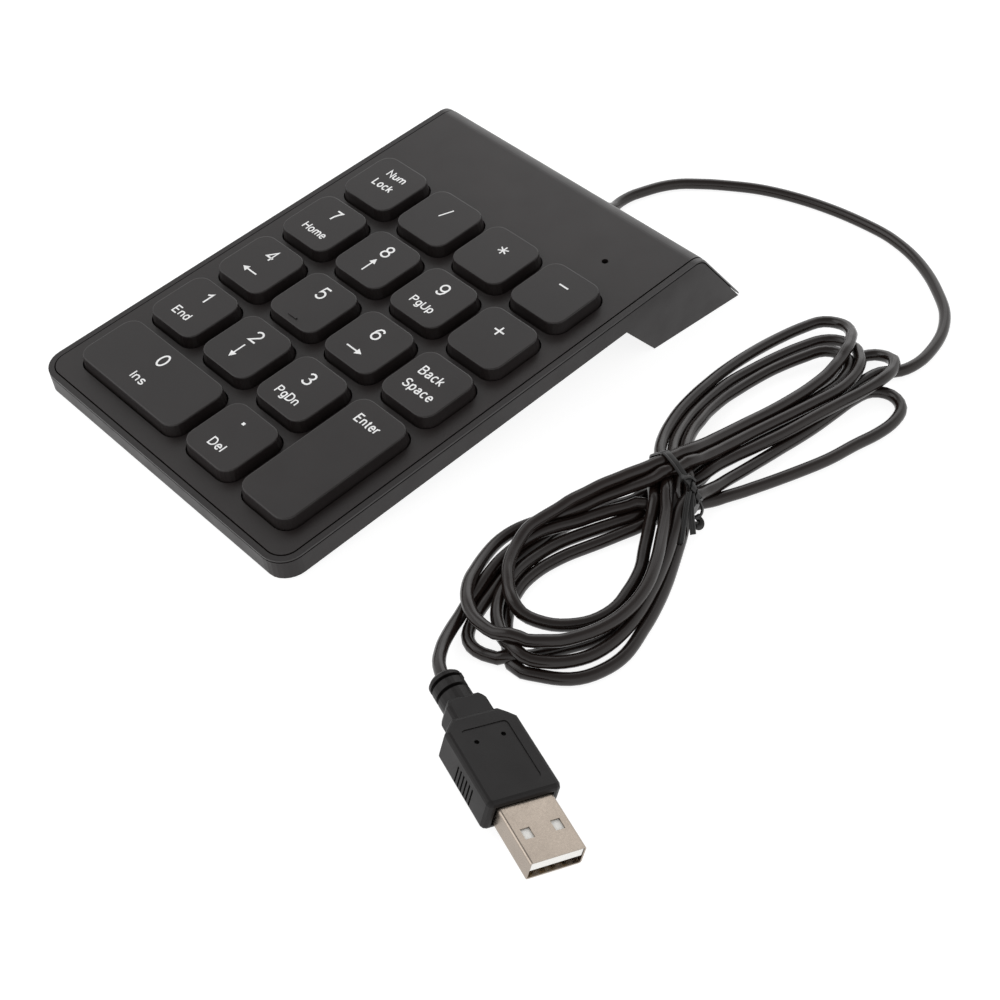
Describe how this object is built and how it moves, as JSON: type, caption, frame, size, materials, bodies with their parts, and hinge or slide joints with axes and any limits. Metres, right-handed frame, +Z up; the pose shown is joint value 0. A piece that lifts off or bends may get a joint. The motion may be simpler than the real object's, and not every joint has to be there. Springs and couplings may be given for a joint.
{
  "type": "wired numeric keypad",
  "caption": "Low-profile wired numeric keypad with a tilted deck of flat rounded-square keys, a raised rear wedge, and a USB plug on a short tied cord.",
  "frame": {"origin": "centre of the pad's footprint, on the ground plane under its feet; the cord and plug are left out of this", "axes": "+Z up, +Y from the front edge towards the raised rear, where the cord leaves, +X to the right of the user"},
  "size_m": [0.1733, 0.1955, 0.0191],
  "materials": {
    "satin_black_plastic": "satin, fine grain",
    "key_plastic": "satin, fine grain, with printed white legends",
    "black_rubber": "matt",
    "cord_jacket": "smooth flexible jacket",
    "dome_rubber": "translucent, matt",
    "membrane_film": "clear film with printed tracks",
    "steel": "plain",
    "nickel_plating": "satin nickel",
    "gold_plating": "bright",
    "board_laminate": "green solder mask",
    "chip_resin": "matt",
    "white_plastic": "smooth",
    "clear_plastic": "clear, smoked",
    "plug_plastic": "matt moulded"
  },
  "bodies": {
    "case": {"board_screw_1": "steel", "board_screw_2": "steel", "bottom_shell": "satin_black_plastic", "case_screw_1": "steel", "case_screw_2": "steel", "case_screw_3": "steel", "case_screw_4": "steel", "circuit_board": "board_laminate", "controller_chip": "chip_resin", "cord_connector": "white_plastic", "cord_gland": "black_rubber", "cord_hank": "cord_jacket", "cord_lead": "cord_jacket", "cord_plug_lead": "cord_jacket", "deck_plate": "satin_black_plastic", "edge_trim": "satin_black_plastic", "foot_front_left": "black_rubber", "foot_front_right": "black_rubber", "foot_rear_left": "black_rubber", "foot_rear_right": "black_rubber", "indicator_led": "clear_plastic", "indicator_light_pipe": "clear_plastic", "inner_cable": "cord_jacket", "key_guide": "chip_resin", "membrane_clamp_bar": "steel", "plug_contact_1": "gold_plating", "plug_contact_2": "gold_plating", "plug_contact_3": "gold_plating", "plug_contact_4": "gold_plating", "plug_overmould": "plug_plastic", "plug_shell": "nickel_plating", "plug_tongue": "white_plastic", "rubber_dome_sheet": "dome_rubber", "steel_back_plate": "steel", "switch_membrane": "membrane_film", "twist_tie": "black_rubber", "wedge_screw_1": "steel", "wedge_screw_2": "steel"},
    "key_num_lock": {"key_num_lock": "key_plastic"},
    "key_divide": {"key_divide": "key_plastic"},
    "key_multiply": {"key_multiply": "key_plastic"},
    "key_subtract": {"key_subtract": "key_plastic"},
    "key_7": {"key_7": "key_plastic"},
    "key_8": {"key_8": "key_plastic"},
    "key_9": {"key_9": "key_plastic"},
    "key_add": {"key_add": "key_plastic"},
    "key_4": {"key_4": "key_plastic"},
    "key_5": {"key_5": "key_plastic"},
    "key_6": {"key_6": "key_plastic"},
    "key_back_space": {"key_back_space": "key_plastic"},
    "key_1": {"key_1": "key_plastic"},
    "key_2": {"key_2": "key_plastic"},
    "key_3": {"key_3": "key_plastic"},
    "key_enter": {"key_enter": "key_plastic"},
    "key_0": {"key_0": "key_plastic"},
    "key_decimal": {"key_decimal": "key_plastic"}
  },
  "joints": [
    {"name": "key_num_lock_press", "type": "slide", "parent": "case", "child": "key_num_lock", "axis": [0, 0.1063, -0.9943], "range_m": [0, 0.002], "stiffness_N_per_m": 250, "springref_m": -0.0005, "deforming": ["rubber_dome_sheet"]},
    {"name": "key_divide_press", "type": "slide", "parent": "case", "child": "key_divide", "axis": [0, 0.1063, -0.9943], "range_m": [0, 0.002], "stiffness_N_per_m": 250, "springref_m": -0.0005, "deforming": ["rubber_dome_sheet"]},
    {"name": "key_multiply_press", "type": "slide", "parent": "case", "child": "key_multiply", "axis": [0, 0.1063, -0.9943], "range_m": [0, 0.002], "stiffness_N_per_m": 250, "springref_m": -0.0005, "deforming": ["rubber_dome_sheet"]},
    {"name": "key_subtract_press", "type": "slide", "parent": "case", "child": "key_subtract", "axis": [0, 0.1063, -0.9943], "range_m": [0, 0.002], "stiffness_N_per_m": 250, "springref_m": -0.0005, "deforming": ["rubber_dome_sheet"]},
    {"name": "key_7_press", "type": "slide", "parent": "case", "child": "key_7", "axis": [0, 0.1063, -0.9943], "range_m": [0, 0.002], "stiffness_N_per_m": 250, "springref_m": -0.0005, "deforming": ["rubber_dome_sheet"]},
    {"name": "key_8_press", "type": "slide", "parent": "case", "child": "key_8", "axis": [0, 0.1063, -0.9943], "range_m": [0, 0.002], "stiffness_N_per_m": 250, "springref_m": -0.0005, "deforming": ["rubber_dome_sheet"]},
    {"name": "key_9_press", "type": "slide", "parent": "case", "child": "key_9", "axis": [0, 0.1063, -0.9943], "range_m": [0, 0.002], "stiffness_N_per_m": 250, "springref_m": -0.0005, "deforming": ["rubber_dome_sheet"]},
    {"name": "key_add_press", "type": "slide", "parent": "case", "child": "key_add", "axis": [0, 0.1063, -0.9943], "range_m": [0, 0.002], "stiffness_N_per_m": 250, "springref_m": -0.0005, "deforming": ["rubber_dome_sheet"]},
    {"name": "key_4_press", "type": "slide", "parent": "case", "child": "key_4", "axis": [0, 0.1063, -0.9943], "range_m": [0, 0.002], "stiffness_N_per_m": 250, "springref_m": -0.0005, "deforming": ["rubber_dome_sheet"]},
    {"name": "key_5_press", "type": "slide", "parent": "case", "child": "key_5", "axis": [0, 0.1063, -0.9943], "range_m": [0, 0.002], "stiffness_N_per_m": 250, "springref_m": -0.0005, "deforming": ["rubber_dome_sheet"]},
    {"name": "key_6_press", "type": "slide", "parent": "case", "child": "key_6", "axis": [0, 0.1063, -0.9943], "range_m": [0, 0.002], "stiffness_N_per_m": 250, "springref_m": -0.0005, "deforming": ["rubber_dome_sheet"]},
    {"name": "key_back_space_press", "type": "slide", "parent": "case", "child": "key_back_space", "axis": [0, 0.1063, -0.9943], "range_m": [0, 0.002], "stiffness_N_per_m": 250, "springref_m": -0.0005, "deforming": ["rubber_dome_sheet"]},
    {"name": "key_1_press", "type": "slide", "parent": "case", "child": "key_1", "axis": [0, 0.1063, -0.9943], "range_m": [0, 0.002], "stiffness_N_per_m": 250, "springref_m": -0.0005, "deforming": ["rubber_dome_sheet"]},
    {"name": "key_2_press", "type": "slide", "parent": "case", "child": "key_2", "axis": [0, 0.1063, -0.9943], "range_m": [0, 0.002], "stiffness_N_per_m": 250, "springref_m": -0.0005, "deforming": ["rubber_dome_sheet"]},
    {"name": "key_3_press", "type": "slide", "parent": "case", "child": "key_3", "axis": [0, 0.1063, -0.9943], "range_m": [0, 0.002], "stiffness_N_per_m": 250, "springref_m": -0.0005, "deforming": ["rubber_dome_sheet"]},
    {"name": "key_enter_press", "type": "slide", "parent": "case", "child": "key_enter", "axis": [0, 0.1063, -0.9943], "range_m": [0, 0.002], "stiffness_N_per_m": 250, "springref_m": -0.0005, "deforming": ["rubber_dome_sheet"]},
    {"name": "key_0_press", "type": "slide", "parent": "case", "child": "key_0", "axis": [0, 0.1063, -0.9943], "range_m": [0, 0.002], "stiffness_N_per_m": 250, "springref_m": -0.0005, "deforming": ["rubber_dome_sheet"]},
    {"name": "key_decimal_press", "type": "slide", "parent": "case", "child": "key_decimal", "axis": [0, 0.1063, -0.9943], "range_m": [0, 0.002], "stiffness_N_per_m": 250, "springref_m": -0.0005, "deforming": ["rubber_dome_sheet"]}
  ]
}
